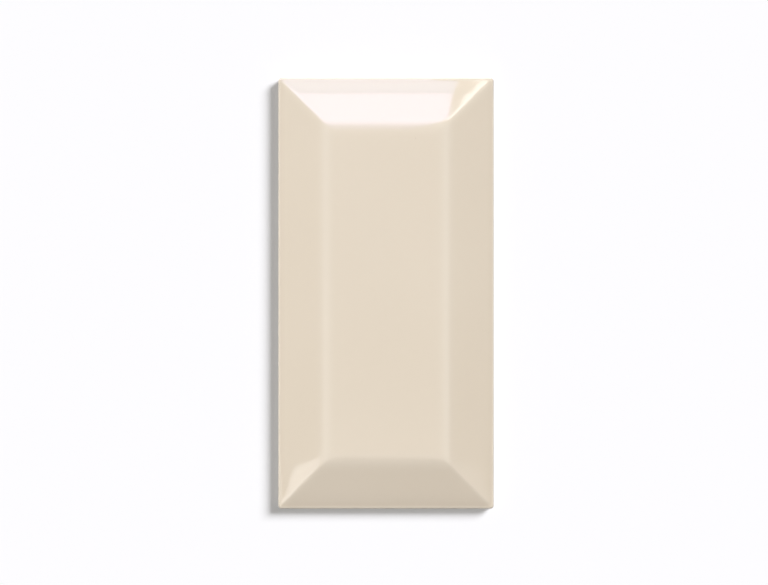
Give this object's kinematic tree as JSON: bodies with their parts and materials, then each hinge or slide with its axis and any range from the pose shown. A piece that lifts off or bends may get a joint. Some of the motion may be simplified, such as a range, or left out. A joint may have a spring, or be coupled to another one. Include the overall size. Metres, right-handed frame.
{
  "type": "wall tile",
  "caption": "Oblong bevelled ceramic wall tile in cream gloss glaze: raised flat field, mitred bevels on all sides, narrow low rim and a keyed back for adhesive.",
  "frame": {"origin": "middle of the bed, the flat of the keyed back that the tile lies on", "axes": "+X along the short side, +Y along the long side, +Z out of the glazed face"},
  "size_m": [0.1, 0.2, 0.008],
  "materials": {
    "glazed_body": "gloss"
  },
  "bodies": {
    "root": {"tile": "glazed_body"}
  },
  "joints": []
}
